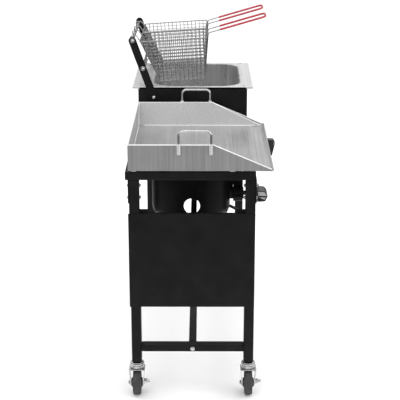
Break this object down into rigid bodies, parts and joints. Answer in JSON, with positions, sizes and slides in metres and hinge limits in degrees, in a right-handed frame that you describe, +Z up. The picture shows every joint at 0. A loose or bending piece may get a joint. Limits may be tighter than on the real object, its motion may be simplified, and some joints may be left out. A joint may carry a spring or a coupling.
{
  "type": "outdoor griddle and deep fryer cart",
  "caption": "Wheeled outdoor gas cooking cart with a flat-top griddle at one end and a deep fryer tank with lift-out wire baskets hung on a rack at the other.",
  "frame": {"origin": "on the floor, at the middle of the bounding box", "axes": "+Z up; -Y is the front, where the operator stands and the knobs are; +X along the cart from the griddle end to the fryer end"},
  "size_m": [1.2, 0.5478, 1.1514],
  "materials": {
    "black_frame": "satin black powder coat",
    "zinc_hardware": "bright zinc plate",
    "cast_burner": "as cast",
    "brass_fitting": "machined",
    "gas_pipe": "dark grey enamel",
    "tank_steel": "polished stainless sheet",
    "griddle_steel": "brushed stainless sheet",
    "handle_steel": "polished rod",
    "basket_wire": "nickel plated wire",
    "red_coating": "dipped vinyl, satin",
    "black_knob": "moulded, semi-gloss",
    "chrome_trim": "chrome plate",
    "caster_rubber": "dark grey rubber"
  },
  "bodies": {
    "cart": {"leg_near_front": "black_frame", "leg_near_back": "black_frame", "leg_far_front": "black_frame", "leg_far_back": "black_frame", "top_rail_front": "black_frame", "top_rail_back": "black_frame", "top_rail_near": "black_frame", "top_rail_far": "black_frame", "top_cross_bars": "black_frame", "lower_rail_near": "black_frame", "lower_rail_far": "black_frame", "lower_stretcher": "black_frame", "stretcher_bolts": "zinc_hardware", "end_panel": "black_frame", "control_panel": "black_frame", "back_panel": "black_frame", "frame_bolts": "zinc_hardware", "fryer_control_bracket": "black_frame", "griddle_burner_bowl": "black_frame", "fryer_burner_bowl": "black_frame", "griddle_burner": "cast_burner", "fryer_burner": "cast_burner", "burner_brackets": "black_frame", "griddle_valve": "gas_pipe", "fryer_valve": "gas_pipe", "gas_manifold": "gas_pipe", "gas_inlet": "brass_fitting", "fryer_cabinet": "black_frame", "fryer_tank": "tank_steel", "tank_screws": "tank_steel", "rack_arm_near": "black_frame", "rack_arm_far": "black_frame", "rack_rods": "handle_steel", "rack_bolts": "zinc_hardware", "knob_bezels": "chrome_trim", "caster_stems": "zinc_hardware"},
    "griddle": {"griddle_pan": "griddle_steel", "griddle_handles": "handle_steel"},
    "griddle_knob": {"griddle_knob": "black_knob"},
    "fryer_knob": {"fryer_knob": "black_knob"},
    "griddle_air_shutter": {"griddle_air_shutter": "black_frame"},
    "fryer_air_shutter": {"fryer_air_shutter": "black_frame"},
    "basket_near": {"basket_near_mesh": "basket_wire", "basket_near_wires": "basket_wire", "basket_near_grip": "red_coating"},
    "basket_far": {"basket_far_mesh": "basket_wire", "basket_far_wires": "basket_wire", "basket_far_grip": "red_coating"},
    "fork_near_front": {"caster_fork_near_front": "zinc_hardware"},
    "wheel_near_front": {"caster_wheel_near_front": "caster_rubber"},
    "brake_near_front": {"caster_brake_near_front": "chrome_trim"},
    "fork_near_back": {"caster_fork_near_back": "zinc_hardware"},
    "wheel_near_back": {"caster_wheel_near_back": "caster_rubber"},
    "brake_near_back": {"caster_brake_near_back": "chrome_trim"},
    "fork_far_front": {"caster_fork_far_front": "zinc_hardware"},
    "wheel_far_front": {"caster_wheel_far_front": "caster_rubber"},
    "brake_far_front": {"caster_brake_far_front": "chrome_trim"},
    "fork_far_back": {"caster_fork_far_back": "zinc_hardware"},
    "wheel_far_back": {"caster_wheel_far_back": "caster_rubber"},
    "brake_far_back": {"caster_brake_far_back": "chrome_trim"}
  },
  "joints": [
    {"name": "griddle_lift", "type": "slide", "parent": "cart", "child": "griddle", "axis": [0, 0, 1], "range_m": [0, 0.15]},
    {"name": "griddle_knob_turn", "type": "hinge", "parent": "cart", "child": "griddle_knob", "pos_m": [-0.258, -0.18988, 0.606], "axis": [0, -1, 0], "range_deg": [0, 180]},
    {"name": "fryer_knob_turn", "type": "hinge", "parent": "cart", "child": "fryer_knob", "pos_m": [0.332, -0.24987, 0.613], "axis": [0, -1, 0], "range_deg": [-90, 90]},
    {"name": "griddle_shutter_turn", "type": "hinge", "parent": "cart", "child": "griddle_air_shutter", "pos_m": [-0.258, -0.10988, 0.606], "axis": [0, -1, 0], "range_deg": [0, 60]},
    {"name": "fryer_shutter_turn", "type": "hinge", "parent": "cart", "child": "fryer_air_shutter", "pos_m": [0.332, -0.10988, 0.606], "axis": [0, -1, 0], "range_deg": [0, 60]},
    {"name": "basket_near_lift", "type": "slide", "parent": "cart", "child": "basket_near", "axis": [0, 0, 1], "range_m": [0, 0.22]},
    {"name": "basket_far_lift", "type": "slide", "parent": "cart", "child": "basket_far", "axis": [0, 0, 1], "range_m": [0, 0.22]},
    {"name": "swivel_near_front", "type": "hinge", "parent": "cart", "child": "fork_near_front", "pos_m": [-0.539, -0.14388, 0.1], "axis": [0, 0, 1], "continuous": true},
    {"name": "roll_near_front", "type": "hinge", "parent": "fork_near_front", "child": "wheel_near_front", "pos_m": [-0.559, -0.14388, 0.041], "axis": [0, 1, 0], "continuous": true},
    {"name": "brake_near_front", "type": "hinge", "parent": "fork_near_front", "child": "brake_near_front", "pos_m": [-0.559, -0.17338, 0.046], "axis": [1, 0, 0], "range_deg": [0, 25]},
    {"name": "swivel_near_back", "type": "hinge", "parent": "cart", "child": "fork_near_back", "pos_m": [-0.539, 0.22412, 0.1], "axis": [0, 0, 1], "continuous": true},
    {"name": "roll_near_back", "type": "hinge", "parent": "fork_near_back", "child": "wheel_near_back", "pos_m": [-0.559, 0.22412, 0.041], "axis": [0, 1, 0], "continuous": true},
    {"name": "brake_near_back", "type": "hinge", "parent": "fork_near_back", "child": "brake_near_back", "pos_m": [-0.559, 0.19462, 0.046], "axis": [1, 0, 0], "range_deg": [0, 25]},
    {"name": "swivel_far_front", "type": "hinge", "parent": "cart", "child": "fork_far_front", "pos_m": [0.576, -0.14388, 0.1], "axis": [0, 0, 1], "continuous": true},
    {"name": "roll_far_front", "type": "hinge", "parent": "fork_far_front", "child": "wheel_far_front", "pos_m": [0.556, -0.14388, 0.041], "axis": [0, 1, 0], "continuous": true},
    {"name": "brake_far_front", "type": "hinge", "parent": "fork_far_front", "child": "brake_far_front", "pos_m": [0.556, -0.17338, 0.046], "axis": [1, 0, 0], "range_deg": [0, 25]},
    {"name": "swivel_far_back", "type": "hinge", "parent": "cart", "child": "fork_far_back", "pos_m": [0.576, 0.22412, 0.1], "axis": [0, 0, 1], "continuous": true},
    {"name": "roll_far_back", "type": "hinge", "parent": "fork_far_back", "child": "wheel_far_back", "pos_m": [0.556, 0.22412, 0.041], "axis": [0, 1, 0], "continuous": true},
    {"name": "brake_far_back", "type": "hinge", "parent": "fork_far_back", "child": "brake_far_back", "pos_m": [0.556, 0.19462, 0.046], "axis": [1, 0, 0], "range_deg": [0, 25]}
  ]
}
